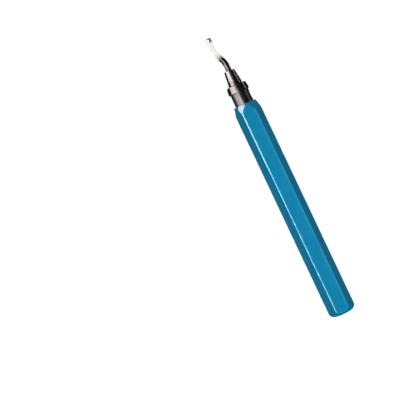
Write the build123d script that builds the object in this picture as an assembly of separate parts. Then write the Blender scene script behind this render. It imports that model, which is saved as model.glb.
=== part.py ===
from build123d import *

import os
from math import radians, sin, cos, sqrt, tan

# Hand deburring tool: a hexagonal aluminium handle, a quick-change blade holder
# with a spring-loaded lock collar, and one S-shaped swivel blade.
# Millimetres. The tool lies on one flat of its handle: +X points along the tool
# towards the blade, +Z is up, and the origin is the centre of the lower flat.

# ---- handle ----
ACROSS_FLATS = 14.0
HANDLE_LENGTH = 133.5
HEX_EDGE_RADIUS = 0.75
FRONT_CONE_ANGLE = 15.0
FRONT_LEDGE = 1.15              # ring of handle face left around the neck
REAR_CROWN_RADIUS = 30.0        # slight crown of the rear end face
REAR_CORNER_RADIUS = 3.6
TURNING_STOCK = 2.0             # bar length beyond the finished rear end
ENVELOPE_MARGIN = 0.04          # turned envelope outside the hexagon's corners
STUD_LENGTH = 16.0
STUD_POCKET_SPARE = 1.0         # drilled depth left behind the stud
DRILL_POINT_ANGLE = 59.0        # half angle of the drill point
MOUTH_CHAMFER = 0.4

# ---- blade ----
SHANK_DIAMETER = 3.2
SHANK_BEHIND_GROOVE = 10.0
GROOVE_DEPTH = 0.5
SHANK_CHAMFER = 0.4
BEND_START = 3.2                # straight shank showing in front of the nose
BEND_RADIUS = 9.0
OUTWARD_ANGLE = 23.0
OUTWARD_RUN = 5.6
RETURN_ANGLE = 28.0
TIP_RUN = 6.1
TIP_ROUNDING = 1.35
GROUND_LEVEL = -0.2             # ground face, measured from the shank's axis
GRIND_START = 1.6               # along the outward run
GRIND_RUN_OUT = 2.8
KNOB_LENGTH = 2.5               # round end left unground at the tip
KNOB_ROOT_RADIUS = 0.4

# ---- lock balls ----
BALL_DIAMETER = 1.5
BALL_COUNT = 3
BALL_GROOVE_GAP = 0.02
BALL_HOLE_CLEARANCE = 0.03
BALL_COVER = 0.08               # tube wall standing over a locked ball
RELEASED_BALL_GAP = 0.03

# ---- blade tube ----
RUNNING_CLEARANCE = 0.03        # radial, blade in tube and collar on tube
TUBE_FRONT_WALL = 0.67
TUBE_SEAT = 2.7                 # pressed length in the stem

# ---- nose cap ----
NOSE_LENGTH = 6.25
NOSE_WALL = 0.9
NOSE_LIP = 1.0
NOSE_HOLE_CLEARANCE = 0.2
NOSE_CHAMFER = 0.22

# ---- lock collar ----
RELEASE_TRAVEL = 3.0
COLLAR_FRONT_GAP = 0.05         # to the nose cap with the collar forward
COLLAR_REAR_GAP = 0.1           # to the neck with the collar pulled back
RAMP_SPARE = 0.4
HUB_LIP = 0.8                   # ramp's wide end to the hub's front face
HUB_WALL = 0.76
FLARE_RADIUS = 0.45
LAND_WALL = 0.82
LAND_REAR = 1.5                 # skirt edge to the land's rear end
LAND_LENGTH = 1.5
WEB_THICKNESS = 0.75
SKIRT_CLEARANCE = 0.06
SKIRT_FRONT_WALL = 0.28
SKIRT_REAR_WALL = 0.84
SKIRT_OVERLAP = 0.6             # skirt over the neck with the collar forward
EDGE_BREAK = 0.16

# ---- holder stem ----
NECK_LENGTH = 8.2
NECK_WALL = 0.9
STUD_WALL = 1.3
STUD_CHAMFER = 0.6
STUD_RELIEF_LENGTH = 1.2
STUD_RELIEF_DEPTH = 0.5
CUP_FLOOR = 2.2                 # handle face to the floor of the spring cup

# ---- return spring ----
WIRE_DIAMETER = 0.6
SPRING_TURNS = 6
SPRING_INNER_GAP = 0.2
SPRING_OUTER_GAP = 0.25
SPRING_END_GAP = 0.06

# ---- radii that follow from the sizes above ----
CORNER_RADIUS = ACROSS_FLATS / sqrt(3)
SHANK_RADIUS = SHANK_DIAMETER / 2
BALL_RADIUS = BALL_DIAMETER / 2
TUBE_BORE = SHANK_RADIUS + RUNNING_CLEARANCE
BALL_LOCKED = SHANK_RADIUS - GROOVE_DEPTH + BALL_GROOVE_GAP + BALL_RADIUS
BALL_LIFT = TUBE_BORE + RELEASED_BALL_GAP + BALL_RADIUS - BALL_LOCKED
TUBE_RADIUS = BALL_LOCKED + BALL_RADIUS + BALL_COVER
TUBE_FRONT_RADIUS = TUBE_BORE + TUBE_FRONT_WALL
NOSE_FRONT_RADIUS = TUBE_FRONT_RADIUS + NOSE_WALL
LAND_RADIUS = TUBE_RADIUS + RUNNING_CLEARANCE
RAMP_SLOPE = BALL_LIFT / RELEASE_TRAVEL
RAMP_LENGTH = RELEASE_TRAVEL + RAMP_SPARE
RECESS_RADIUS = LAND_RADIUS + RAMP_SLOPE * RAMP_LENGTH
HUB_RADIUS = RECESS_RADIUS + HUB_WALL
LAND_OUTER_RADIUS = LAND_RADIUS + LAND_WALL
COIL_RADIUS = LAND_OUTER_RADIUS + SPRING_INNER_GAP + WIRE_DIAMETER / 2
CUP_RADIUS = COIL_RADIUS + WIRE_DIAMETER / 2 + SPRING_OUTER_GAP
NECK_RADIUS = CUP_RADIUS + NECK_WALL
SKIRT_RADIUS = NECK_RADIUS + SKIRT_CLEARANCE
STUD_RADIUS = TUBE_RADIUS + STUD_WALL
FRONT_FACE_RADIUS = NECK_RADIUS + FRONT_LEDGE

# ---- stations along the tool ----
X_REAR = -HANDLE_LENGTH / 2
X_FACE = HANDLE_LENGTH / 2
X_NECK_FRONT = X_FACE + NECK_LENGTH
X_CUP_FLOOR = X_FACE + CUP_FLOOR
X_TUBE_REAR = X_CUP_FLOOR - TUBE_SEAT
X_SKIRT = X_NECK_FRONT - SKIRT_OVERLAP
X_LAND_REAR = X_SKIRT + LAND_REAR
X_BALL = X_LAND_REAR + LAND_LENGTH
X_WEB_REAR = X_NECK_FRONT + RELEASE_TRAVEL + COLLAR_REAR_GAP
X_FLARE_FACE = X_WEB_REAR + WEB_THICKNESS
X_FLARE_FOOT = X_FLARE_FACE + FLARE_RADIUS
X_HUB_FRONT = X_BALL + RAMP_LENGTH + HUB_LIP
X_NOSE_REAR = X_HUB_FRONT + COLLAR_FRONT_GAP
X_NOSE = X_NOSE_REAR + NOSE_LENGTH
AXIS_HEIGHT = ACROSS_FLATS / 2


def on_axis(shape):
    """Lift a shape modelled about the X axis to the height of the tool's axis."""
    return Pos(0, 0, AXIS_HEIGHT) * shape


def turned(outline):
    """Revolve a closed outline of (x, radius) points about the X axis."""
    return revolve(make_face(Polyline(outline, close=True)), Axis.X)


def cone_radius(x):
    """Outer radius of the tapered nose at station x."""
    share = (X_NOSE - x) / (X_NOSE - X_FLARE_FOOT)
    return NOSE_FRONT_RADIUS + share * (HUB_RADIUS - NOSE_FRONT_RADIUS)


def ball_angles():
    """Angles of the lock balls about the tool's axis, the first one at the top."""
    return [90 + 360 / BALL_COUNT * i for i in range(BALL_COUNT)]


def radial(angle):
    """Unit vector across the tool at an angle counted from +Y towards +Z."""
    return Vector(0, cos(radians(angle)), sin(radians(angle)))


def handle():
    """Hexagonal bar with a coned front, a domed rear and a pocket for the stud."""
    hexagon = RegularPolygon(ACROSS_FLATS / 2, 6, major_radius=False)
    hexagon = fillet(hexagon.vertices(), HEX_EDGE_RADIUS)
    bar = extrude(Plane.YZ.offset(X_REAR - TURNING_STOCK) * hexagon, HANDLE_LENGTH + TURNING_STOCK)
    depth = STUD_LENGTH + STUD_POCKET_SPARE
    point = STUD_RADIUS / tan(radians(DRILL_POINT_ANGLE))
    pocket = turned([
        (X_FACE - depth - point, 0),
        (X_FACE - depth, STUD_RADIUS),
        (X_FACE - MOUTH_CHAMFER, STUD_RADIUS),
        (X_FACE, STUD_RADIUS + MOUTH_CHAMFER),
        (X_FACE, 0),
    ])
    return on_axis(bar - front_turning() - rear_turning() - pocket)


def front_turning():
    """What the lathe takes off the hexagon's corners to leave the cone at the front."""
    outer = CORNER_RADIUS + ENVELOPE_MARGIN
    length = (outer - FRONT_FACE_RADIUS) / tan(radians(FRONT_CONE_ANGLE))
    return turned([
        (X_FACE - length, outer),
        (X_FACE, FRONT_FACE_RADIUS),
        (X_FACE + MOUTH_CHAMFER, FRONT_FACE_RADIUS),
        (X_FACE + MOUTH_CHAMFER, outer),
    ])


def rear_turning():
    """What the lathe takes off to leave the crowned rear end with its round corner."""
    outer = CORNER_RADIUS + ENVELOPE_MARGIN
    pole = Vector(X_REAR, 0)
    crown_centre = pole + Vector(REAR_CROWN_RADIUS, 0)
    rise = outer - REAR_CORNER_RADIUS
    between = REAR_CROWN_RADIUS - REAR_CORNER_RADIUS
    corner_centre = crown_centre + Vector(-sqrt(between ** 2 - rise ** 2), rise)
    meeting = crown_centre + (corner_centre - crown_centre) * (REAR_CROWN_RADIUS / between)
    crown = TangentArc(pole, meeting, tangent=(0, 1))
    corner = TangentArc(meeting, (corner_centre.X, outer), tangent=crown % 1)
    x_past = X_REAR - 2 * TURNING_STOCK
    rest = Polyline(corner @ 1, (x_past, outer), (x_past, 0), pole)
    return revolve(make_face([crown, corner, rest]), Axis.X)


def holder_stem():
    """Neck with a spring cup in front and a stud behind that is screwed into the handle."""
    relief = STUD_RADIUS - STUD_RELIEF_DEPTH
    return on_axis(turned([
        (X_FACE - STUD_LENGTH, 0),
        (X_FACE - STUD_LENGTH, STUD_RADIUS - STUD_CHAMFER),
        (X_FACE - STUD_LENGTH + STUD_CHAMFER, STUD_RADIUS),
        (X_FACE - STUD_RELIEF_LENGTH, STUD_RADIUS),
        (X_FACE - STUD_RELIEF_LENGTH, relief),
        (X_FACE, relief),
        (X_FACE, NECK_RADIUS),
        (X_NECK_FRONT - EDGE_BREAK, NECK_RADIUS),
        (X_NECK_FRONT, NECK_RADIUS - EDGE_BREAK),
        (X_NECK_FRONT, CUP_RADIUS),
        (X_CUP_FLOOR, CUP_RADIUS),
        (X_CUP_FLOOR, TUBE_RADIUS),
        (X_TUBE_REAR, TUBE_RADIUS),
        (X_TUBE_REAR, 0),
    ]))


def blade_tube():
    """Tube that the blade swivels in, with one radial hole for each lock ball."""
    x_front = X_NOSE - NOSE_LIP
    tube = turned([
        (X_TUBE_REAR, TUBE_BORE),
        (X_TUBE_REAR, TUBE_RADIUS),
        (X_NOSE_REAR, TUBE_RADIUS),
        (X_NOSE_REAR, TUBE_FRONT_RADIUS),
        (x_front, TUBE_FRONT_RADIUS),
        (x_front, TUBE_BORE),
    ])
    drill = Cylinder(BALL_RADIUS + BALL_HOLE_CLEARANCE, TUBE_RADIUS + BALL_RADIUS,
                     align=(Align.CENTER, Align.CENTER, Align.MIN))
    for angle in ball_angles():
        tube -= Plane((X_BALL, 0, 0), z_dir=radial(angle)) * drill
    return on_axis(tube)


def nose_cap():
    """Tapered cap pressed on the tube's front end, which stops the collar."""
    x_lip = X_NOSE - NOSE_LIP
    return on_axis(turned([
        (X_NOSE_REAR, TUBE_FRONT_RADIUS),
        (X_NOSE_REAR, cone_radius(X_NOSE_REAR) - EDGE_BREAK),
        (X_NOSE_REAR + EDGE_BREAK, cone_radius(X_NOSE_REAR + EDGE_BREAK)),
        (X_NOSE - NOSE_CHAMFER, cone_radius(X_NOSE - NOSE_CHAMFER)),
        (X_NOSE, NOSE_FRONT_RADIUS - NOSE_CHAMFER),
        (X_NOSE, SHANK_RADIUS + NOSE_HOLE_CLEARANCE),
        (x_lip, SHANK_RADIUS + NOSE_HOLE_CLEARANCE),
        (x_lip, TUBE_FRONT_RADIUS),
    ]))


def lock_collar():
    """Sliding collar: a hub with the ball ramp inside, a flare and a skirt over the neck."""
    front_radius = SKIRT_RADIUS + SKIRT_FRONT_WALL
    rear_radius = SKIRT_RADIUS + SKIRT_REAR_WALL
    flare = RadiusArc(
        (X_FLARE_FOOT, HUB_RADIUS), (X_FLARE_FACE, HUB_RADIUS + FLARE_RADIUS), FLARE_RADIUS
    )
    rest = Polyline(
        flare @ 1,
        (X_FLARE_FACE, front_radius - EDGE_BREAK),
        (X_FLARE_FACE - EDGE_BREAK, front_radius),
        (X_SKIRT + EDGE_BREAK, rear_radius),
        (X_SKIRT, rear_radius - EDGE_BREAK),
        (X_SKIRT, SKIRT_RADIUS),
        (X_WEB_REAR, SKIRT_RADIUS),
        (X_WEB_REAR, LAND_OUTER_RADIUS),
        (X_LAND_REAR, LAND_OUTER_RADIUS),
        (X_LAND_REAR, LAND_RADIUS),
        (X_BALL, LAND_RADIUS),
        (X_BALL + RAMP_LENGTH, RECESS_RADIUS),
        (X_HUB_FRONT, RECESS_RADIUS),
        (X_HUB_FRONT, cone_radius(X_HUB_FRONT) - EDGE_BREAK),
        (X_HUB_FRONT - EDGE_BREAK, cone_radius(X_HUB_FRONT - EDGE_BREAK)),
        flare @ 0,
    )
    return on_axis(revolve(make_face([flare, rest]), Axis.X))


def return_spring():
    """Coil spring between the cup's floor and the collar's web."""
    first = X_CUP_FLOOR + SPRING_END_GAP + WIRE_DIAMETER / 2
    last = X_WEB_REAR - SPRING_END_GAP - WIRE_DIAMETER / 2
    length = last - first
    coil = Helix(length / SPRING_TURNS, length, COIL_RADIUS, (first, 0, 0), (1, 0, 0))
    wire = Plane(coil @ 0, z_dir=coil % 0) * Circle(WIRE_DIAMETER / 2)
    return on_axis(sweep(wire, path=coil, is_frenet=True))


def lock_ball(angle):
    """One lock ball, seated in the blade's groove."""
    return on_axis(Pos(*(Vector(X_BALL, 0, 0) + radial(angle) * BALL_LOCKED)) * Sphere(BALL_RADIUS))


def blade():
    """Swivel blade: grooved round shank, two bends, a ground face and a round knob at the tip."""
    x_end = X_BALL - SHANK_BEHIND_GROOVE
    shank = Line((x_end, 0), (X_NOSE + BEND_START, 0))
    outward = JernArc(shank @ 1, shank % 1, BEND_RADIUS, OUTWARD_ANGLE)
    run = Line(outward @ 1, outward @ 1 + (outward % 1) * OUTWARD_RUN)
    back = JernArc(run @ 1, run % 1, BEND_RADIUS, -RETURN_ANGLE)
    tip = Line(back @ 1, back @ 1 + (back % 1) * TIP_RUN)
    path = Wire([shank, outward, run, back, tip])
    rod = sweep(Plane((x_end, 0, 0), z_dir=(1, 0, 0)) * Circle(SHANK_RADIUS), path=path)
    rod = fillet(rod.edges().sort_by(Axis.X)[-1], TIP_ROUNDING)
    rod = chamfer(rod.edges().sort_by(Axis.X)[0], SHANK_CHAMFER)
    groove_radius = BALL_LOCKED + BALL_GROOVE_GAP / 2 - (SHANK_RADIUS - GROOVE_DEPTH)
    groove = revolve(
        Pos(X_BALL, SHANK_RADIUS - GROOVE_DEPTH + groove_radius) * Circle(groove_radius), Axis.X
    )
    return on_axis(rod - groove - grind(run, back @ 0.5, tip))


def upright(origin, heading):
    """Vertical plane through a point of the blade's centre line, its X axis along the heading."""
    return Plane(origin=origin, x_dir=heading, z_dir=heading.cross(Vector(0, 0, 1)))


def grind(run, middle, tip):
    """What the grinding wheel takes off above the flat face, from its run-out to the knob."""
    start = upright(run @ 0 + (run % 0) * GRIND_START, run % 0)
    drop = SHANK_RADIUS - GROUND_LEVEL
    wheel = (GRIND_RUN_OUT ** 2 + drop ** 2) / (2 * drop)
    x_past = (middle - start.origin).dot(run % 0) + SHANK_RADIUS
    entry = RadiusArc((0, SHANK_RADIUS), (GRIND_RUN_OUT, GROUND_LEVEL), -wheel)
    over = Polyline(
        entry @ 1,
        (x_past, GROUND_LEVEL),
        (x_past, SHANK_DIAMETER),
        (0, SHANK_DIAMETER),
        entry @ 0,
    )
    knob = upright(tip @ 1 - (tip % 1) * KNOB_LENGTH, tip % 1)
    x_back = (middle - knob.origin).dot(tip % 1) - SHANK_RADIUS
    face = Line((x_back, GROUND_LEVEL), (-KNOB_ROOT_RADIUS, GROUND_LEVEL))
    root = JernArc(face @ 1, face % 1, KNOB_ROOT_RADIUS, 90)
    wall = Polyline(root @ 1, (0, SHANK_DIAMETER), (x_back, SHANK_DIAMETER), face @ 0)
    near = extrude(start * make_face([entry, over]), SHANK_DIAMETER, both=True)
    far = extrude(knob * make_face([face, root, wall]), SHANK_DIAMETER, both=True)
    return near + far


os.makedirs("parts", exist_ok=True)
PIECES = {
    "handle": handle(),
    "holder_stem": holder_stem(),
    "blade_tube": blade_tube(),
    "nose_cap": nose_cap(),
    "lock_collar": lock_collar(),
    "return_spring": return_spring(),
    "blade": blade(),
}
for number, ball_angle in enumerate(ball_angles(), start=1):
    PIECES[f"lock_ball_{number}"] = lock_ball(ball_angle)
for name, piece in PIECES.items():
    piece.label = name
    export_step(piece, f"parts/{name}.step")
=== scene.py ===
import math

import bmesh
import bpy
from mathutils import Matrix, Vector


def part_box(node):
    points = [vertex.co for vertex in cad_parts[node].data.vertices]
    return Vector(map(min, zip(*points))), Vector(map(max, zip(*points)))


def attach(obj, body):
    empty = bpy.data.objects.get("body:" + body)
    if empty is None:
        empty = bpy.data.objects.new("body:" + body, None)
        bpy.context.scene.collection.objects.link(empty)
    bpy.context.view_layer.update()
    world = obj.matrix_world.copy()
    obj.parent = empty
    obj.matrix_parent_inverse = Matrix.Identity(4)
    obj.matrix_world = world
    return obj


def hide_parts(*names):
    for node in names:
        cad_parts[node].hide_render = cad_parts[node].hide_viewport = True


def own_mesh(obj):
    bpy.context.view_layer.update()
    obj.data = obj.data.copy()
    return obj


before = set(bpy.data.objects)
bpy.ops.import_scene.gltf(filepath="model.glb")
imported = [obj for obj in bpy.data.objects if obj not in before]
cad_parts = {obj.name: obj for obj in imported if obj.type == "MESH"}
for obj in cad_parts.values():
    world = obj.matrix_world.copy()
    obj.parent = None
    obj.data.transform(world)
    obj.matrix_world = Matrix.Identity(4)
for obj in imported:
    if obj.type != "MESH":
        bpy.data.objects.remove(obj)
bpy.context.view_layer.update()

MM = 0.001
FULL_TURN = 2 * math.pi
QUARTER_TURN = math.pi / 2


def half_height(low, high):
    """Half the height of a node that is centred on the tool's axis."""
    return (high.z - low.z) / 2


# ---- places and radii read from the CAD frame ----
HANDLE_LO, HANDLE_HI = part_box("handle")
STEM_LO, STEM_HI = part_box("holder_stem")
TUBE_LO, TUBE_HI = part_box("blade_tube")
NOSE_LO, NOSE_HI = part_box("nose_cap")
COLLAR_LO, COLLAR_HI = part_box("lock_collar")
SPRING_LO, SPRING_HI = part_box("return_spring")
BLADE_LO, BLADE_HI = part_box("blade")
BALL_LO, BALL_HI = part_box("lock_ball_1")
AXIS_Z = (HANDLE_LO.z + HANDLE_HI.z) / 2
FACE_X = HANDLE_HI.x
BALL_X = (BALL_LO.x + BALL_HI.x) / 2
APOTHEM = half_height(HANDLE_LO, HANDLE_HI)
NECK_RADIUS = half_height(STEM_LO, STEM_HI)
TUBE_RADIUS = half_height(TUBE_LO, TUBE_HI)
SHANK_RADIUS = half_height(BLADE_LO, BLADE_HI)

# ---- handle ----
HEX_EDGE_RADIUS = 0.75 * MM
ENVELOPE_MARGIN = 0.04 * MM     # of the turned rear end past the hexagon's corners
ENVELOPE_RADIUS = APOTHEM * 2 / math.sqrt(3) + ENVELOPE_MARGIN
FACE_RING = 1.15 * MM           # width of the front face around the neck
FRONT_FACE_RADIUS = NECK_RADIUS + FACE_RING
FRONT_CONE = math.radians(15)
CROWN_RADIUS = 30 * MM
REAR_CORNER_RADIUS = 3.6 * MM
FRONT_CREASE = 0.07 * MM        # half width of the soft edge where the cone meets a flat
REAR_CREASE = 0.22 * MM         # the same at the rear corner
EDGE_BREAK = 0.16 * MM          # radius of an outer turned edge
SIDE_RUB_AND_HIGHLIGHT = 0.3                 # beside a crease, whose own edge value is 1: rubbed wear and painted highlight
BREAK_RUB_AND_HIGHLIGHT = 0.8                # round the edge of the front face: rubbed wear and painted highlight
POCKET_DEPTH = 17 * MM
POCKET_POINT = math.radians(59)     # half angle of the drill's point
POCKET_CHAMFER = 0.4 * MM
THREAD_START = 0.5 * MM         # behind the handle's face
THREAD_STOP = 1.6 * MM          # in front of the pocket's floor

# ---- holder ----
STUD_RADIUS = 4 * MM
STUD_CHAMFER = 0.6 * MM
RELIEF_LENGTH = 1.2 * MM
RELIEF_DEPTH = 0.5 * MM
THREAD_PITCH = 1.25 * MM
THREAD_DEPTH = 0.45 * MM
THREAD_GAP = 0.03 * MM
THREAD_STATION = THREAD_PITCH / 8
CUP_WALL = 0.9 * MM
CUP_RADIUS = NECK_RADIUS - CUP_WALL
CUP_FLOOR = 2.2 * MM            # in front of the handle's face
CUP_FLOOR_X = FACE_X + CUP_FLOOR
TUBE_BORE = 1.63 * MM
TUBE_FRONT_WALL = 0.67 * MM
TUBE_FRONT_RADIUS = TUBE_BORE + TUBE_FRONT_WALL
NOSE_WALL = 0.9 * MM
NOSE_FRONT_RADIUS = TUBE_FRONT_RADIUS + NOSE_WALL
NOSE_LIP = 1.0 * MM
NOSE_CHAMFER = 0.22 * MM
NOSE_CLEARANCE = 0.2 * MM
NOSE_HOLE_RADIUS = SHANK_RADIUS + NOSE_CLEARANCE

# ---- lock collar ----
RELEASE_TRAVEL = 3.0 * MM
SKIRT_CLEARANCE = 0.06 * MM
SKIRT_FRONT_WALL = 0.28 * MM
SKIRT_BORE = NECK_RADIUS + SKIRT_CLEARANCE
SKIRT_FRONT_RADIUS = SKIRT_BORE + SKIRT_FRONT_WALL
SKIRT_REAR_RADIUS = half_height(COLLAR_LO, COLLAR_HI)
SKIRT_CHAMFER = 0.32 * MM
WEB_CLEARANCE = 0.1 * MM        # to the neck, with the collar fully back
WEB_THICKNESS = 0.75 * MM
WEB_X = STEM_HI.x + RELEASE_TRAVEL + WEB_CLEARANCE
FLARE_X = WEB_X + WEB_THICKNESS
FLARE_RADIUS = 0.45 * MM
LAND_CLEARANCE = 0.03 * MM
LAND_WALL = 0.82 * MM
LAND_SETBACK = 1.5 * MM         # from the skirt's rear edge
LAND_X = COLLAR_LO.x + LAND_SETBACK
LAND_RADIUS = TUBE_RADIUS + LAND_CLEARANCE
LAND_OUTER_RADIUS = LAND_RADIUS + LAND_WALL
RAMP_LENGTH = 3.4 * MM
RAMP_SLOPE = 0.18
RECESS_RADIUS = LAND_RADIUS + RAMP_SLOPE * RAMP_LENGTH
HUB_WALL = 0.76 * MM
HUB_REAR_RADIUS = RECESS_RADIUS + HUB_WALL

# ---- return spring ----
WIRE_RADIUS = 0.3 * MM
SPRING_RADIUS = half_height(SPRING_LO, SPRING_HI) - WIRE_RADIUS
SPRING_TURNS = 6
CLOSED_TURNS = 1.0
CLOSED_PITCH = 2 * WIRE_RADIUS * 1.02   # turns that all but touch

# ---- blade ----
GROOVE_DEPTH = 0.5 * MM
GROOVE_RADIUS = 0.78 * MM
SHANK_CHAMFER = 0.4 * MM
BEND_START = 3.2 * MM           # in front of the nose
BEND_RADIUS = 9.0 * MM
OUTWARD_TURN = math.radians(23)
OUTWARD_RUN = 5.6 * MM
RETURN_TURN = math.radians(28)
TIP_RUN = 6.1 * MM
TIP_ROUNDING = 1.35 * MM
GROUND_LEVEL = -0.2 * MM        # of the ground face, over the blade's own axis
GRIND_START = 1.6 * MM          # along the outward run
GRIND_RUN_OUT = 2.8 * MM
PAINTED_SHADE_LENGTH = 4.5 * MM          # of the painted shade on the ground face, from where the wheel ran in
BURR = 0.04 * MM
KNOB_LENGTH = 2.5 * MM
KNOB_ROOT = 0.4 * MM


# ============================ materials ============================

class Surface:
    """A Principled material, with short calls for the nodes that feed it."""

    def __init__(self, name, **sockets):
        self.material = bpy.data.materials.new(name)
        self.material.use_nodes = True
        self.tree = self.material.node_tree
        self.shader = self.tree.nodes["Principled BSDF"]
        self.place = self.node("ShaderNodeTexCoord").outputs["Object"]
        for socket, value in sockets.items():
            self.shader.inputs[socket.replace("_", " ")].default_value = value

    def node(self, kind, **settings):
        made = self.tree.nodes.new(kind)
        for setting, value in settings.items():
            setattr(made, setting, value)
        return made

    def feed(self, socket, value):
        """Link an output to an input, or set the input's own value."""
        if isinstance(value, bpy.types.NodeSocket):
            self.tree.links.new(value, socket)
        else:
            socket.default_value = value

    def noise(self, scale, detail=3.0, roughness=0.5, turn=0.0):
        """Noise with its own number of cells per metre along X, Y and Z."""
        mapping = self.node("ShaderNodeMapping")
        mapping.inputs["Scale"].default_value = scale
        mapping.inputs["Rotation"].default_value = (0, 0, turn)
        self.feed(mapping.inputs["Vector"], self.place)
        made = self.node("ShaderNodeTexNoise")
        made.inputs["Scale"].default_value = 1.0
        made.inputs["Detail"].default_value = detail
        made.inputs["Roughness"].default_value = roughness
        self.feed(made.inputs["Vector"], mapping.outputs["Vector"])
        return made.outputs["Fac"]

    def attribute(self, name):
        """A value that the mesh carries on its points."""
        return self.node("ShaderNodeAttribute", attribute_name=name).outputs["Fac"]

    def remap(self, value, low, high, to_low=0.0, to_high=1.0):
        """Value from low..high spread over to_low..to_high."""
        made = self.node("ShaderNodeMapRange", interpolation_type="SMOOTHSTEP")
        for socket, given in zip(made.inputs[:5], (value, low, high, to_low, to_high)):
            self.feed(socket, given)
        return made.outputs["Result"]

    def maths(self, operation, first, second):
        made = self.node("ShaderNodeMath", operation=operation)
        self.feed(made.inputs[0], first)
        self.feed(made.inputs[1], second)
        return made.outputs[0]

    def mix(self, factor, first, second):
        """Colour between two colours."""
        made = self.node("ShaderNodeMix", data_type="RGBA")
        self.feed(made.inputs["Factor"], factor)
        for socket, given in ((made.inputs[6], first), (made.inputs[7], second)):
            self.feed(socket, (*given, 1.0) if isinstance(given, tuple) else given)
        return made.outputs[2]

    def colour(self, value):
        self.feed(self.shader.inputs["Base Color"], value)

    def roughness(self, value):
        self.feed(self.shader.inputs["Roughness"], value)

    def relief(self, *layers):
        """Bump from (height, depth in metres) layers, one over the other."""
        below = None
        for height, depth in layers:
            bump = self.node("ShaderNodeBump")
            bump.inputs["Distance"].default_value = depth
            self.feed(bump.inputs["Height"], height)
            if below:
                self.feed(bump.inputs["Normal"], below)
            below = bump.outputs["Normal"]
        self.feed(self.shader.inputs["Normal"], below)


def blue_anodised():
    """Bead-blasted aluminium under a clear blue anodised layer, lighter on its edges: rubbed wear
    and painted highlight.
    """
    deep = (0.001, 0.129, 0.238)
    bright = (0.001, 0.147, 0.270)
    drawn = (0.002, 0.174, 0.305)
    grainy = (0.001, 0.105, 0.204)
    pitted = (0.001, 0.096, 0.187)
    rubbed_and_highlit = (0.035, 0.30, 0.45)
    s = Surface("blue_anodised", Metallic=0.25, Specular_IOR_Level=0.0,
                Coat_Weight=1.0, Coat_Roughness=0.07, Coat_IOR=1.7)
    grain = s.noise((1300, 1300, 1300), detail=3.0, roughness=0.6)
    blast = s.noise((5200, 5200, 5200), detail=2.0)
    cloud = s.noise((45, 160, 160), detail=3.0)
    streak = s.noise((35, 2600, 2600), detail=2.0)
    rub = s.noise((420, 1500, 1500), detail=4.0, roughness=0.65)
    tone = s.mix(s.remap(cloud, 0.3, 0.7), deep, bright)
    tone = s.mix(s.remap(streak, 0.35, 0.75, 0.0, 0.35), tone, drawn)
    tone = s.mix(s.remap(grain, 0.35, 0.65, 0.0, 0.55), tone, grainy)
    tone = s.mix(s.remap(blast, 0.30, 0.72, 0.0, 0.45), tone, pitted)
    # Lighter blue by the edge value: partly rubbed wear, partly painted highlight on the edges,
    # creases and the flats' borders.
    edge_share = s.maths("MULTIPLY", s.attribute("edge"), s.remap(rub, 0.30, 0.62, 0.18, 0.60))
    s.colour(s.mix(edge_share, tone, rubbed_and_highlit))
    s.roughness(s.maths("SUBTRACT", s.remap(cloud, 0.3, 0.7, 0.36, 0.44),
                        s.maths("MULTIPLY", edge_share, 0.1)))
    s.relief((blast, 0.012 * MM), (streak, 0.003 * MM), (rub, 0.004 * MM))
    return s.material


def turned_metal(name, dark, light, rough, marks=9000.0, rub_light=(0.42, 0.40, 0.39)):
    """Machined metal: fine rings left by the lathe, thin scratches and edges rubbed bright."""
    s = Surface(name, Metallic=1.0)
    rings = s.noise((marks, 30, 30), detail=3.0, roughness=0.6)
    coarse = s.noise((marks / 7, 12, 12), detail=2.0)
    stain = s.noise((260, 320, 320), detail=3.0)
    scratch = s.noise((900, 5200, 5200), detail=2.0, roughness=0.7)
    tone = s.mix(s.remap(stain, 0.3, 0.7), dark, light)
    tone = s.mix(s.remap(rings, 0.40, 0.80, 0.0, 0.16), tone, rub_light)
    edge_share = s.maths("MULTIPLY", s.attribute("edge"), s.remap(scratch, 0.30, 0.60, 0.2, 1.0))
    s.colour(s.mix(s.maths("MULTIPLY", edge_share, 0.75), tone, rub_light))
    s.roughness(s.maths("ADD", s.remap(stain, 0.3, 0.7, rough, rough + 0.06),
                        s.remap(scratch, 0.55, 0.75, 0.0, 0.12)))
    s.relief((coarse, 0.0022 * MM), (rings, 0.0009 * MM), (scratch, 0.0008 * MM))
    return s.material


def drawn_wire():
    """Oil-hardened spring wire with a straw tint."""
    brown = (0.20, 0.17, 0.145)
    straw = (0.34, 0.30, 0.26)
    bare = (0.45, 0.42, 0.40)
    s = Surface("spring_steel", Metallic=1.0)
    stain = s.noise((700, 700, 700), detail=3.0)
    grit = s.noise((9000, 3500, 3500), detail=2.0)
    tone = s.mix(s.remap(stain, 0.3, 0.7), brown, straw)
    s.colour(s.mix(s.remap(grit, 0.55, 0.8, 0.0, 0.5), tone, bare))
    s.roughness(s.remap(grit, 0.3, 0.7, 0.24, 0.4))
    s.relief((grit, 0.002 * MM))
    return s.material


def black_oxide():
    """Blackened high-speed steel rod: drawing lines along it, brown where the black is thin."""
    black = (0.050, 0.044, 0.042)
    brown = (0.100, 0.076, 0.067)
    bare = (0.42, 0.38, 0.35)
    s = Surface("blade_black", Metallic=1.0)
    lines = s.noise((160, 6500, 6500), detail=2.0, roughness=0.6)
    thin = s.noise((420, 900, 900), detail=4.0, roughness=0.6)
    pits = s.noise((5200, 5200, 5200), detail=2.0)
    tone = s.mix(s.remap(thin, 0.35, 0.65), black, brown)
    edge_share = s.maths("MULTIPLY", s.attribute("edge"), s.remap(pits, 0.3, 0.6, 0.2, 1.0))
    s.colour(s.mix(s.maths("MAXIMUM", edge_share, s.remap(lines, 0.60, 0.80, 0.0, 0.4)), tone, bare))
    s.roughness(s.remap(thin, 0.3, 0.7, 0.20, 0.32))
    s.relief((lines, 0.0025 * MM), (pits, 0.002 * MM))
    return s.material


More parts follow.
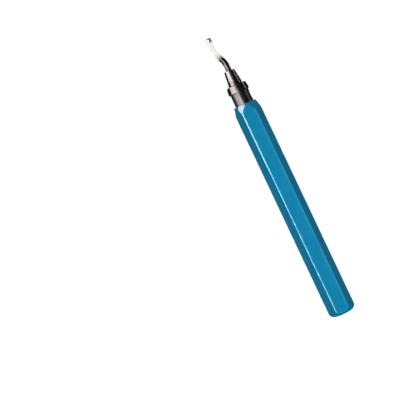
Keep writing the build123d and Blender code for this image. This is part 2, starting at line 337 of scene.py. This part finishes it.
def ground_steel(name, rough, metal):
    """Fresh ground steel: fine parallel wheel marks across the blade, and painted shade where the
    edge value is high: darker where the wheel ran in and along the creases."""
    clean = (0.48, 0.475, 0.465)
    bright = (0.57, 0.565, 0.555)
    painted_shade = (0.27, 0.262, 0.25)
    scored = (0.26, 0.255, 0.245)
    lean = math.radians(5)
    s = Surface(name, Metallic=metal)
    marks = s.noise((7000, 260, 260), detail=3.0, roughness=0.65, turn=lean)
    wide = s.noise((900, 90, 90), detail=2.0, turn=lean)
    tone = s.mix(s.remap(wide, 0.3, 0.7), clean, bright)
    # Painted shade: darker with the edge value, where the wheel ran in and along the creases.
    tone = s.mix(s.maths("MULTIPLY", s.attribute("edge"), s.remap(wide, 0.3, 0.7, 0.7, 1.0)),
                 tone, painted_shade)
    s.colour(s.mix(s.remap(marks, 0.48, 0.72, 0.0, 0.65), tone, scored))
    s.roughness(s.remap(marks, 0.3, 0.7, rough, rough + 0.14))
    s.relief((wide, 0.004 * MM), (marks, 0.003 * MM))
    return s.material


MATERIALS = {
    "blue": blue_anodised(),
    "neck": turned_metal("black_nickel_neck", (0.052, 0.047, 0.050), (0.074, 0.067, 0.069), 0.29),
    "collar": turned_metal("black_nickel_collar", (0.075, 0.066, 0.062), (0.104, 0.092, 0.085),
                           0.20, marks=7500.0),
    "nose": turned_metal("black_nickel_nose", (0.100, 0.091, 0.087), (0.140, 0.128, 0.122), 0.18),
    "steel": turned_metal("plain_steel", (0.50, 0.49, 0.48), (0.62, 0.61, 0.60), 0.14,
                          rub_light=(0.74, 0.73, 0.72)),
    "wire": drawn_wire(),
    "black": black_oxide(),
    "ground": ground_steel("blade_ground", 0.42, 0.72),
    "knob": ground_steel("blade_knob", 0.24, 0.95),
}


# ============================ meshes ============================

def mesh_object(name, verts, faces, materials, slots=None, edges=None):
    """Mesh object from plain lists, with a material index for each face and an edge value for each
    point, which the materials show as wear, painted highlight and painted shade."""
    mesh = bpy.data.meshes.new(name)
    mesh.from_pydata(verts, [], faces)
    for material in materials:
        mesh.materials.append(material)
    if slots:
        mesh.polygons.foreach_set("material_index", slots)
    if edges:
        mesh.attributes.new("edge", "FLOAT", "POINT").data.foreach_set("value", edges)
    solid = bmesh.new()
    solid.from_mesh(mesh)
    bmesh.ops.recalc_face_normals(solid, faces=solid.faces)
    solid.to_mesh(mesh)
    solid.free()
    obj = bpy.data.objects.new(name, mesh)
    bpy.context.scene.collection.objects.link(obj)
    return obj


def finish_piece(obj, body, slot, *nodes, sharp=50):
    """Shade a piece, put it on its body and let it stand for its CAD nodes."""
    obj.data.shade_smooth()
    obj.data.set_sharp_from_angle(angle=math.radians(sharp))
    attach(obj, body)
    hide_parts(*nodes)


def spread(first, last, count):
    """Values from first to last in even steps."""
    return [first + (last - first) * k / count for k in range(count + 1)]


def skin(rings):
    """Points and faces of a skin over equal rings of points, fanned shut at both ends."""
    around = len(rings[0])
    verts = [point for ring in rings for point in ring]
    faces = []
    for i in range(len(rings) - 1):
        here = i * around
        ahead = here + around
        for k in range(around):
            m = (k + 1) % around
            faces.append((here + k, here + m, ahead + m, ahead + k))
    for first in (0, (len(rings) - 1) * around):
        centre = len(verts)
        rim = verts[first:first + around]
        verts.append(tuple(sum(point[i] for point in rim) / around for i in range(3)))
        for k in range(around):
            faces.append((centre, first + k, first + (k + 1) % around))
    return verts, faces


def outward(outline, i):
    """True if the outline turns the same way at corner i as it does on the whole."""
    count = len(outline)
    area = sum(outline[k - 1][0] * outline[k][1] - outline[k][0] * outline[k - 1][1]
               for k in range(count))
    a, b, c = outline[i - 1], outline[i], outline[(i + 1) % count]
    turn = (b[0] - a[0]) * (c[1] - b[1]) - (b[1] - a[1]) * (c[0] - b[0])
    return turn * area > 0


def rounded(outline):
    """Closed outline from (x, r, corner radius) points: an arc at each corner that has a radius,
    with a support point each side. Gives (x, r, wear) points."""
    steps = 5
    support = 0.04 * MM
    most_cut = 0.45             # share of a side that an arc may take
    most_support = 0.48         # share of a side where its support point may be
    count = len(outline)
    points = []
    for i, (x, r, radius) in enumerate(outline):
        corner = Vector((x, r))
        if radius <= 0:
            points.append((x, r, 0.0))
            continue
        before = Vector(outline[i - 1][:2]) - corner
        after = Vector(outline[(i + 1) % count][:2]) - corner
        half = before.angle(after) / 2
        cut = min(radius / math.tan(half), most_cut * before.length, most_cut * after.length)
        radius = cut * math.tan(half)
        into = before.normalized()
        out = after.normalized()
        centre = corner + (into + out).normalized() * (radius / math.sin(half))
        first = corner + into * cut - centre
        last = corner + out * cut - centre
        turn = math.atan2(first.x * last.y - first.y * last.x, first.dot(last))
        convex = 1.0 if outward(outline, i) else 0.0
        points.append((*(corner + into * min(cut + support, most_support * before.length)), 0.0))
        for angle in spread(0.0, turn, steps):
            points.append((*(centre + Matrix.Rotation(angle, 2) @ first), convex))
        points.append((*(corner + out * min(cut + support, most_support * after.length)), 0.0))
    return points


def lathe(name, points, material, radius=None):
    """Closed outline of (x, r, wear) points turned about the tool's axis. A radius function of
    x, r and the angle may change r round the turn."""
    around = 160
    verts = []
    faces = []
    rows = len(points)
    for x, r, _ in points:
        for k in range(around):
            angle = FULL_TURN * k / around
            here = radius(x, r, angle) if radius else r
            verts.append((x, here * math.cos(angle), AXIS_Z + here * math.sin(angle)))
    for i in range(rows):
        j = (i + 1) % rows
        for k in range(around):
            m = (k + 1) % around
            faces.append((i * around + k, j * around + k, j * around + m, i * around + m))
    edges = [edge_value for _, _, edge_value in points for _ in range(around)]
    return mesh_object(name, verts, faces, [material], edges=edges)


# ============================ handle ============================

def hex_columns():
    """(angle, radius, edge value) around the handle's section: six flats joined by small edge
    arcs; the edge value is rubbed wear and painted highlight.
    """
    arc_steps = 8
    flat_steps = 18
    beside_edge = [0.05 * MM, 0.2 * MM, 0.5 * MM]
    open_from_edge = 0.9 * MM
    rub_and_highlight_width = 0.3 * MM
    painted_highlight_width = 1.5 * MM
    reach = (APOTHEM - HEX_EDGE_RADIUS) / math.cos(math.radians(30))
    half_flat = (APOTHEM - HEX_EDGE_RADIUS) * math.tan(math.radians(30))
    half_open = half_flat - open_from_edge
    marks = [-half_flat + gap for gap in beside_edge]
    marks += spread(-half_open, half_open, flat_steps)
    marks += [half_flat - gap for gap in reversed(beside_edge)]
    columns = []
    for side in range(6):
        corner = math.radians(60 * side)
        for degrees in spread(-30, 30, arc_steps):
            turn = math.radians(degrees)
            along = reach + HEX_EDGE_RADIUS * math.cos(turn)
            across = HEX_EDGE_RADIUS * math.sin(turn)
            # The edge arcs take the full edge value: rubbed wear and painted highlight.
            columns.append((corner + math.atan2(across, along), math.hypot(along, across), 1.0))
        for mark in marks:
            angle = corner + math.radians(30) + math.atan2(mark, APOTHEM)
            inward = half_flat - abs(mark)
            # On a flat: rubbed wear and painted highlight within 0.3 mm of an edge, and a faint
            # painted highlight band over the outer 1.5 mm.
            edge_value = max(0.6 * (1 - inward / rub_and_highlight_width), 0.12 * (1 - inward / painted_highlight_width), 0.0)
            columns.append((angle, math.hypot(mark, APOTHEM), edge_value))
    return columns


def softened(before, corner, after, steps):
    """Points that round a corner between two points either side of it."""
    points = []
    for k in range(1, steps):
        t = k / steps
        points.append(tuple((1 - t) ** 2 * b + 2 * t * (1 - t) * c + t ** 2 * a
                            for b, c, a in zip(before, corner, after)))
    return points


def front_profile(r_hex):
    """(x, r, edge value) points from the flat over the front cone to the stud's pocket; the edge
    value is rubbed wear and painted highlight at the crease and round the face's edge.
    """
    crease_steps = 3
    cone_steps = 12
    break_steps = 5
    face_steps = 6
    slope = math.tan(FRONT_CONE)
    start = FACE_X - (r_hex - FRONT_FACE_RADIUS) / slope
    end = FACE_X - EDGE_BREAK
    before = (start - FRONT_CREASE, r_hex, SIDE_RUB_AND_HIGHLIGHT)
    corner = (start, r_hex, 1.0)
    after = (start + FRONT_CREASE, r_hex - FRONT_CREASE * slope, SIDE_RUB_AND_HIGHLIGHT)
    points = [(start - 4 * FRONT_CREASE, r_hex, 0.0), before]
    points += softened(before, corner, after, crease_steps) + [after]
    for x in spread(start + FRONT_CREASE, end, cone_steps)[1:]:
        points.append((x, FRONT_FACE_RADIUS + (FACE_X - x) * slope, 0.0))
    top = FRONT_FACE_RADIUS + EDGE_BREAK * slope
    for turn in spread(0.0, QUARTER_TURN, break_steps)[1:]:
        points.append((end + EDGE_BREAK * math.sin(turn),
                       top - EDGE_BREAK * (1 - math.cos(turn)), BREAK_RUB_AND_HIGHLIGHT))
    for r in spread(points[-1][1], STUD_RADIUS + POCKET_CHAMFER, face_steps)[1:]:
        points.append((FACE_X, r, 0.0))
    points.append((FACE_X - POCKET_CHAMFER, STUD_RADIUS, 0.0))
    return points


def rear_profile(r_hex):
    """(x, r, edge value) points from the rear end's middle over its crown and round corner to the
    flat; the edge value is rubbed wear and painted highlight at the crease."""
    crown_steps = 12
    corner_steps = 14
    crease_steps = 5
    rise = ENVELOPE_RADIUS - REAR_CORNER_RADIUS
    between = CROWN_RADIUS - REAR_CORNER_RADIUS
    lean = math.asin(rise / between)
    centre_x = HANDLE_LO.x + CROWN_RADIUS - between * math.cos(lean)
    meet = math.asin((r_hex - rise) / REAR_CORNER_RADIUS)
    step = REAR_CREASE / REAR_CORNER_RADIUS

    def on_corner(turn, edge_value):
        return (centre_x - REAR_CORNER_RADIUS * math.cos(turn),
                rise + REAR_CORNER_RADIUS * math.sin(turn), edge_value)

    points = []
    for turn in spread(0.0, lean, crown_steps)[1:]:
        points.append((HANDLE_LO.x + CROWN_RADIUS * (1 - math.cos(turn)),
                       CROWN_RADIUS * math.sin(turn), 0.0))
    for turn in spread(lean, meet - step, corner_steps)[1:-1]:
        points.append(on_corner(turn, 0.0))
    before = on_corner(meet - step, SIDE_RUB_AND_HIGHLIGHT)
    corner = on_corner(meet, 1.0)
    after = (corner[0] + REAR_CREASE, r_hex, SIDE_RUB_AND_HIGHLIGHT)
    points += [before] + softened(before, corner, after, crease_steps) + [after]
    points.append((corner[0] + 3 * REAR_CREASE, r_hex, 0.0))
    return points


def thread(x, angle):
    """Height of the stud's thread at a place, from 0 in the root to 1 on the crest."""
    steepness = 1.6
    root = 0.3
    phase = (x / THREAD_PITCH - angle / FULL_TURN) % 1.0
    return min(1.0, max(0.0, steepness * abs(2 * phase - 1) - root))


def pocket_rows(columns):
    """Rows of (x, r, wear) points down the threaded pocket to its drill point."""
    fade_rows = 6
    point_steps = 5
    start = FACE_X - THREAD_START
    floor_x = FACE_X - POCKET_DEPTH
    end = floor_x + THREAD_STOP
    count = round((start - end) / THREAD_STATION)
    rows = []
    for k, x in enumerate(spread(start, end, count)):
        depth = THREAD_DEPTH * min(1.0, k / fade_rows, (count - k) / fade_rows)
        rows.append([(x, STUD_RADIUS - depth * (1 - thread(x, angle)), 0.0)
                     for angle, _, _ in columns])
    floor_radius = STUD_RADIUS - THREAD_DEPTH
    for r in spread(floor_radius, 0.0, point_steps)[:-1]:
        x = floor_x - (floor_radius - r) / math.tan(POCKET_POINT)
        rows.append([(x, r, 0.0)] * len(columns))
    return rows


def make_handle():
    """Hexagonal bar: crowned rear end, flats with soft edges, coned front and threaded pocket."""
    body_rows = 28
    columns = hex_columns()
    rears = [rear_profile(r) for _, r, _ in columns]
    fronts = [front_profile(r) for _, r, _ in columns]
    rows = list(zip(*rears))
    first_body = len(rows) - 1
    last_body = first_body + body_rows
    for k in range(1, body_rows):
        row = []
        for (_, r, edge_value), rear, front in zip(columns, rears, fronts):
            row.append((rear[-1][0] + (front[0][0] - rear[-1][0]) * k / body_rows, r, edge_value))
        rows.append(row)
    rows += zip(*fronts)
    rows += pocket_rows(columns)
    rings = []
    edges = []          # the flats' long edges carry rubbed wear and painted highlight only between the two profiles
    for i, row in enumerate(rows):
        ring = []
        for (angle, _, edge_value), (x, r, own) in zip(columns, row):
            ring.append((x, r * math.cos(angle), AXIS_Z + r * math.sin(angle)))
            edges.append(max(own, edge_value) if first_body <= i <= last_body else own)
        rings.append(ring)
    verts, faces = skin(rings)
    edges += [0.0] * (len(verts) - len(edges))
    obj = mesh_object("handle_body", verts, faces, [MATERIALS["blue"]], edges=edges)
    finish_piece(obj, "handle", "blue_anodised", "handle", sharp=80)


# ============================ holder ============================

def make_stem():
    """Neck with its spring cup, and the threaded stud behind it."""
    off_axis = 0.05 * MM
    stud_x = STEM_LO.x
    thread_x = stud_x + STUD_CHAMFER
    thread_end = FACE_X - RELIEF_LENGTH
    relief = STUD_RADIUS - RELIEF_DEPTH
    stations = spread(thread_x, thread_end, round((thread_end - thread_x) / THREAD_STATION))
    outline = [(stud_x, off_axis, 0), (stud_x, STUD_RADIUS - STUD_CHAMFER, 0)]
    outline += [(x, STUD_RADIUS, 0) for x in stations[:-1]]
    outline += [
        (thread_end, relief, 0), (FACE_X, relief, 0.1 * MM), (FACE_X, NECK_RADIUS, 0.12 * MM),
        (STEM_HI.x, NECK_RADIUS, EDGE_BREAK), (STEM_HI.x, CUP_RADIUS, 0.1 * MM),
        (CUP_FLOOR_X, CUP_RADIUS, 0.25 * MM), (CUP_FLOOR_X, TUBE_RADIUS, 0.08 * MM),
        (TUBE_LO.x, TUBE_RADIUS, 0.05 * MM), (TUBE_LO.x, off_axis, 0),
    ]
    run_in = 0.08 * (thread_end - stud_x)
    fullness = 0.9

    def threaded(x, r, angle):
        if x > thread_end or r < STUD_RADIUS - STUD_CHAMFER:
            return r
        share = min(1.0, (x - stud_x) / run_in)
        cut = (THREAD_DEPTH + THREAD_GAP) * (1 - thread(x, angle)) * fullness
        return r - share * (cut + THREAD_GAP)

    obj = lathe("holder_stem_body", rounded(outline), MATERIALS["neck"], radius=threaded)
    finish_piece(obj, "handle", "black_nickel", "holder_stem")


def cone_radius(x):
    """Outer radius of the tapered nose, from the collar's hub to the front edge."""
    foot = FLARE_X + FLARE_RADIUS
    growth = (HUB_REAR_RADIUS - NOSE_FRONT_RADIUS) * (NOSE_HI.x - x) / (NOSE_HI.x - foot)
    return NOSE_FRONT_RADIUS + growth


def make_nose():
    """Tapered cap on the tube's front end, with a lip around the blade."""
    x_lip = NOSE_HI.x - NOSE_LIP
    outline = [
        (NOSE_LO.x, TUBE_FRONT_RADIUS, 0.05 * MM),
        (NOSE_LO.x, cone_radius(NOSE_LO.x), EDGE_BREAK),
        (NOSE_HI.x, cone_radius(NOSE_HI.x), NOSE_CHAMFER),
        (NOSE_HI.x, NOSE_HOLE_RADIUS, 0.18 * MM),
        (x_lip, NOSE_HOLE_RADIUS, 0.05 * MM),
        (x_lip, TUBE_FRONT_RADIUS, 0.05 * MM),
    ]
    obj = lathe("nose_cap_body", rounded(outline), MATERIALS["nose"])
    finish_piece(obj, "handle", "black_nickel", "nose_cap")


def make_collar():
    """Sliding lock collar: tapered hub, flared shoulder and a skirt over the neck."""
    hub_x = COLLAR_HI.x
    outline = [
        (hub_x, cone_radius(hub_x), EDGE_BREAK),
        (FLARE_X, cone_radius(FLARE_X + FLARE_RADIUS), FLARE_RADIUS),
        (FLARE_X, SKIRT_FRONT_RADIUS, EDGE_BREAK),
        (COLLAR_LO.x + SKIRT_CHAMFER, SKIRT_REAR_RADIUS, 0.08 * MM),
        (COLLAR_LO.x, SKIRT_REAR_RADIUS - SKIRT_CHAMFER, 0.08 * MM),
        (COLLAR_LO.x, SKIRT_BORE, 0.1 * MM),
        (WEB_X, SKIRT_BORE, 0.1 * MM),
        (WEB_X, LAND_OUTER_RADIUS, 0.1 * MM),
        (LAND_X, LAND_OUTER_RADIUS, 0.1 * MM),
        (LAND_X, LAND_RADIUS, 0.08 * MM),
        (BALL_X, LAND_RADIUS, 0.05 * MM),
        (BALL_X + RAMP_LENGTH, RECESS_RADIUS, 0.05 * MM),
        (hub_x, RECESS_RADIUS, 0.06 * MM),
    ]
    obj = lathe("lock_collar_body", rounded(outline), MATERIALS["collar"])
    finish_piece(obj, "lock_collar", "black_nickel", "lock_collar")


def make_spring():
    """Coil spring with a closed turn at each end."""
    around = 14
    per_turn = 48
    first = SPRING_LO.x + WIRE_RADIUS
    last = SPRING_HI.x - WIRE_RADIUS
    open_turns = SPRING_TURNS - 2 * CLOSED_TURNS
    free = last - first - 2 * CLOSED_PITCH * CLOSED_TURNS
    count = SPRING_TURNS * per_turn
    path = []
    for k in range(count + 1):
        turns = k / per_turn
        x = first + CLOSED_PITCH * min(turns, CLOSED_TURNS)
        x += free * min(max(turns - CLOSED_TURNS, 0.0), open_turns) / open_turns
        x += CLOSED_PITCH * max(turns - CLOSED_TURNS - open_turns, 0.0)
        angle = FULL_TURN * turns
        path.append(Vector((x, SPRING_RADIUS * math.cos(angle),
                            AXIS_Z + SPRING_RADIUS * math.sin(angle))))
    rings = []
    for k, point in enumerate(path):
        heading = (path[min(k + 1, count)] - path[max(k - 1, 0)]).normalized()
        spoke = (point - Vector((point.x, 0, AXIS_Z))).normalized()
        side = heading.cross(spoke).normalized()
        ring = []
        for m in range(around):
            turn = FULL_TURN * m / around
            out = spoke * math.cos(turn) + side * math.sin(turn)
            ring.append(tuple(point + WIRE_RADIUS * out))
        rings.append(ring)
    verts, faces = skin(rings)
    obj = mesh_object("return_spring_coil", verts, faces, [MATERIALS["wire"]])
    finish_piece(obj, "handle", "spring_steel", "return_spring")
    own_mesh(obj)


# ============================ blade ============================

BLADE_RUNS = [                  # (length, turn) of each stretch of the centre line, from the rear
    (NOSE_HI.x + BEND_START - BLADE_LO.x, 0.0),
    (BEND_RADIUS * OUTWARD_TURN, OUTWARD_TURN),
    (OUTWARD_RUN, 0.0),
    (BEND_RADIUS * RETURN_TURN, -RETURN_TURN),
    (TIP_RUN, 0.0),
]
BLADE_LENGTH = sum(length for length, _ in BLADE_RUNS)
GRIND_AT = sum(length for length, _ in BLADE_RUNS[:2]) + GRIND_START
KNOB_AT = BLADE_LENGTH - KNOB_LENGTH
HAIR = 0.004 * MM               # between two stations at a sharp step
STATION_GAP = 0.03 * MM         # the least between two other stations
LOW_STEPS = 40
TOP_STEPS = 12
TOP_CREASE = math.radians(65)   # how high the creases stand where the rod isn't ground


def blade_place(travelled):
    """Point and heading of the blade's centre line at a distance from its rear end."""
    place = Vector((BLADE_LO.x, 0.0))
    heading = 0.0
    for length, turn in BLADE_RUNS:
        part = min(travelled, length)
        turned = turn * part / length
        chord = part if turn == 0 else 2 * abs(length / turn) * math.sin(abs(turned) / 2)
        middle = heading + turned / 2
        place += Vector((math.cos(middle), math.sin(middle))) * chord
        heading += turned
        travelled -= part
    return place, heading


def rod_radius(travelled):
    """Radius of the rod along its centre line: rear chamfer, ball groove and rounded tip."""
    left = BLADE_LENGTH - travelled
    if travelled < SHANK_CHAMFER:
        return SHANK_RADIUS - (SHANK_CHAMFER - travelled)
    from_groove = BLADE_LO.x + travelled - BALL_X
    if abs(from_groove) < GROOVE_RADIUS:
        bottom = SHANK_RADIUS - GROOVE_DEPTH + GROOVE_RADIUS
        return min(SHANK_RADIUS, bottom - math.sqrt(GROOVE_RADIUS ** 2 - from_groove ** 2))
    if left < TIP_ROUNDING:
        over = TIP_ROUNDING - left
        return SHANK_RADIUS - TIP_ROUNDING + math.sqrt(max(TIP_ROUNDING ** 2 - over ** 2, 0.0))
    return SHANK_RADIUS


def cut_level(travelled):
    """Height of the ground face over the blade's axis at a distance from the rear end."""
    into = travelled - GRIND_AT
    before_knob = KNOB_AT - travelled
    if into <= 0 or before_knob <= 0:
        return SHANK_RADIUS
    if into < GRIND_RUN_OUT:
        drop = SHANK_RADIUS - GROUND_LEVEL
        wheel = (GRIND_RUN_OUT ** 2 + drop ** 2) / (2 * drop)
        return GROUND_LEVEL + wheel - math.sqrt(wheel ** 2 - (GRIND_RUN_OUT - into) ** 2)
    if before_knob < KNOB_ROOT:
        rise = KNOB_ROOT - math.sqrt(KNOB_ROOT ** 2 - (KNOB_ROOT - before_knob) ** 2)
        return GROUND_LEVEL + rise
    return GROUND_LEVEL


def blade_stations():
    """Distances along the blade: even steps, and close ones where the section changes fast."""
    even_steps = 240
    groove_steps = 24
    run_out_steps = 24
    root_steps = 8
    tip_steps = 20
    groove = BALL_X - BLADE_LO.x
    marks = spread(0, BLADE_LENGTH, even_steps)
    marks += spread(groove - GROOVE_RADIUS, groove + GROOVE_RADIUS, groove_steps)
    marks += [SHANK_CHAMFER, SHANK_CHAMFER + HAIR, GRIND_AT]
    marks += [GRIND_AT + GRIND_RUN_OUT * (1 - math.cos(turn))
              for turn in spread(0, QUARTER_TURN, run_out_steps)[1:]]
    marks += [KNOB_AT - KNOB_ROOT * (1 - math.sin(turn))
              for turn in spread(0, QUARTER_TURN, root_steps)[:-1]]
    marks += [KNOB_AT - HAIR, KNOB_AT + HAIR, KNOB_AT + 0.05 * MM, KNOB_AT + 0.12 * MM]
    marks += [BLADE_LENGTH - TIP_ROUNDING * (1 - math.sin(turn))
              for turn in spread(0, QUARTER_TURN, tip_steps)[:-1]]
    kept = []
    for mark in sorted(marks):
        near_knob = KNOB_AT - KNOB_ROOT < mark < KNOB_AT + 0.1 * MM
        if not kept or mark - kept[-1] > (HAIR if near_knob else STATION_GAP):
            kept.append(mark)
    return kept


def blade_section(travelled):
    """Ring of points round the blade: an arc below, the ground face above, and a fine burnished
    edge between them. Gives the points and whether the face is cut here."""
    place, heading = blade_place(travelled)
    radius = rod_radius(travelled)
    level = cut_level(travelled)
    side = Vector((-math.sin(heading), math.cos(heading), 0))
    centre = Vector((place.x, place.y, AXIS_Z))
    lowest_cut = -0.95          # share of the radius
    crease = min(TOP_CREASE, math.asin(max(lowest_cut, min(1.0, level / radius))))
    ring = []
    for angle in spread(math.pi - crease, FULL_TURN + crease, LOW_STEPS):
        ring.append((radius * math.cos(angle), radius * math.sin(angle)))
    wide = radius * math.cos(crease)
    beside_crease = 0.03        # share of the face's width
    for share in [beside_crease] + spread(0, 1, TOP_STEPS)[1:-1] + [1 - beside_crease]:
        across = wide * (1 - 2 * share)
        ring.append((across, min(math.sqrt(max(radius ** 2 - across ** 2, 0.0)), level)))
    cut = crease < TOP_CREASE
    if cut:
        for k in (0, LOW_STEPS):
            ring[k] = (ring[k][0], ring[k][1] - BURR)
    return [tuple(centre + side * a + Vector((0, 0, b))) for a, b in ring], cut


def make_blade():
    """One rod with its groove, its two bends, the ground face and the knob at the tip."""
    black_slot, ground_slot, knob_slot = range(3)
    knob_from = KNOB_AT - 0.02 * MM
    crease_shade = 0.5
    stations = blade_stations()
    sections = [blade_section(travelled) for travelled in stations]
    rings = [points for points, _ in sections]
    cuts = [cut for _, cut in sections]
    verts, faces = skin(rings)
    around = len(rings[0])
    slots = []
    edges = [0.0] * len(verts)
    for i in range(len(rings) - 1):
        knob = stations[i] >= knob_from
        ground = cuts[i] and cuts[i + 1] and not knob
        low_slot = knob_slot if knob else black_slot
        top_slot = ground_slot if ground else low_slot
        slots += [low_slot] * LOW_STEPS + [top_slot] * (around - LOW_STEPS)
        if ground:
            # Painted shade on the ground face, fading from where the wheel ran in, and along its
            # creases.
            painted_shade = max(0.0, 1 - (stations[i] - GRIND_AT) / PAINTED_SHADE_LENGTH)
            for k in range(LOW_STEPS, around + 1):
                own = crease_shade if k in (LOW_STEPS, around) else 0.0
                edges[i * around + k % around] = max(painted_shade, own)
    slots += [black_slot] * around + [knob_slot] * around
    obj = mesh_object("swivel_blade", verts, faces,
                      [MATERIALS["black"], MATERIALS["ground"], MATERIALS["knob"]], slots, edges)
    finish_piece(obj, "blade", "blade_steel", "blade", sharp=35)


# ============================ studio ============================

def build_camera():
    """Long lens straight above the tool, turned so that the tool leans as it is seen."""
    lean = math.radians(25.27)
    field = 230.2 * MM
    behind_nose = 60.0 * MM
    beside_axis = 46.9 * MM
    camera = bpy.data.cameras.new("camera")
    camera.lens = 220.0
    camera.sensor_width = 36.0
    camera.clip_start = 0.01
    camera.clip_end = 10.0
    height = field * camera.lens / camera.sensor_width
    up = Vector((math.cos(lean), -math.sin(lean), 0))
    back = Vector((0, 0, 1))
    right = up.cross(back)
    place = Vector((NOSE_HI.x - behind_nose, beside_axis, AXIS_Z + height))
    obj = bpy.data.objects.new("camera", camera)
    bpy.context.scene.collection.objects.link(obj)
    obj.matrix_world = Matrix.Translation(place) @ Matrix((right, up, back)).transposed().to_4x4()
    bpy.context.scene.camera = obj


def area_light(name, place, aim, size, power, glossy=True, diffuse=True):
    """Rectangular lamp at a place, facing aim, its long side along X."""
    light = bpy.data.lights.new(name, "AREA")
    light.shape = "RECTANGLE"
    light.size, light.size_y = size
    light.energy = power
    obj = bpy.data.objects.new(name, light)
    bpy.context.scene.collection.objects.link(obj)
    back = (place - aim).normalized()
    along = (Vector((1, 0, 0)) - back * back.x).normalized()
    obj.matrix_world = (Matrix.Translation(place)
                        @ Matrix((along, back.cross(along), back)).transposed().to_4x4())
    obj.visible_glossy = glossy
    obj.visible_diffuse = diffuse
    obj.visible_camera = False


def build_lights():
    """Four softboxes up on the left and two faint strips low on the right, which show only as
    reflections, and two broad lamps that light everything and show in no reflection."""
    aim = Vector((10 * MM, 0, AXIS_Z))
    left = 1
    right = -1
    ceiling = Vector((0, 0, 1.7))

    def around(elevation, side, distance, along=0.0):
        angle = math.radians(elevation)
        return aim + Vector((along, side * math.cos(angle) * distance, math.sin(angle) * distance))

    area_light("left_line", around(67, left, 0.55, -0.04), aim, (0.22, 0.09), 1.8, diffuse=False)
    area_light("left_front", around(33, left, 0.55, 0.205), aim, (0.40, 0.62), 5.9, diffuse=False)
    area_light("left_top", around(72, left, 0.75, 0.05), aim, (0.50, 0.22), 0.75, diffuse=False)
    area_light("cone_top", around(72, left, 0.75, 0.46), aim, (0.24, 0.24), 0.85, diffuse=False)
    area_light("left_fill", around(20, left, 0.8), aim, (1.0, 0.3), 2.0, glossy=False)
    area_light("right_front", around(4, right, 0.6, 0.15), aim, (0.17, 0.03), 0.19, diffuse=False)
    area_light("right_line", around(4, right, 0.6, -0.05), aim, (0.26, 0.03), 0.08, diffuse=False)
    area_light("overhead", aim + ceiling, aim, (1.4, 1.4), 62.0, glossy=False)


def build_floor():
    """Plain pale floor, which mirrors nothing back into the polished parts."""
    half = 3.0
    s = Surface("floor_paper", Roughness=0.9, Specular_IOR_Level=0.0)
    fibre = s.noise((900, 900, 900), detail=3.0)
    s.colour(s.mix(fibre, (0.89, 0.89, 0.89), (0.91, 0.91, 0.91)))
    verts = [(-half, -half, 0), (half, -half, 0), (half, half, 0), (-half, half, 0)]
    floor = mesh_object("floor", verts, [(0, 1, 2, 3)], [s.material])
    floor.visible_glossy = False


def build_world():
    """Dim even surround for the light, pale where the camera looks straight at it."""
    dim = (0.04, 0.04, 0.044, 1)
    pale = (0.92, 0.92, 0.92, 1)
    world = bpy.data.worlds.new("world")
    world.use_nodes = True
    bpy.context.scene.world = world
    tree = world.node_tree
    path = tree.nodes.new("ShaderNodeLightPath")
    mix = tree.nodes.new("ShaderNodeMix")
    mix.data_type = "RGBA"
    mix.inputs[6].default_value = dim
    mix.inputs[7].default_value = pale
    tree.links.new(path.outputs["Is Camera Ray"], mix.inputs["Factor"])
    tree.links.new(mix.outputs[2], tree.nodes["Background"].inputs["Color"])
    bpy.context.scene.view_settings.view_transform = "Standard"


def dress_cad_nodes():
    """Materials for the CAD nodes that stay as they are."""
    for node in ("blade_tube", "lock_ball_1", "lock_ball_2", "lock_ball_3"):
        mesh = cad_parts[node].data
        mesh.materials.clear()
        mesh.materials.append(MATERIALS["steel"])


build_camera()
make_handle()
make_stem()
make_nose()
make_collar()
make_spring()
make_blade()
dress_cad_nodes()
build_floor()
build_lights()
build_world()
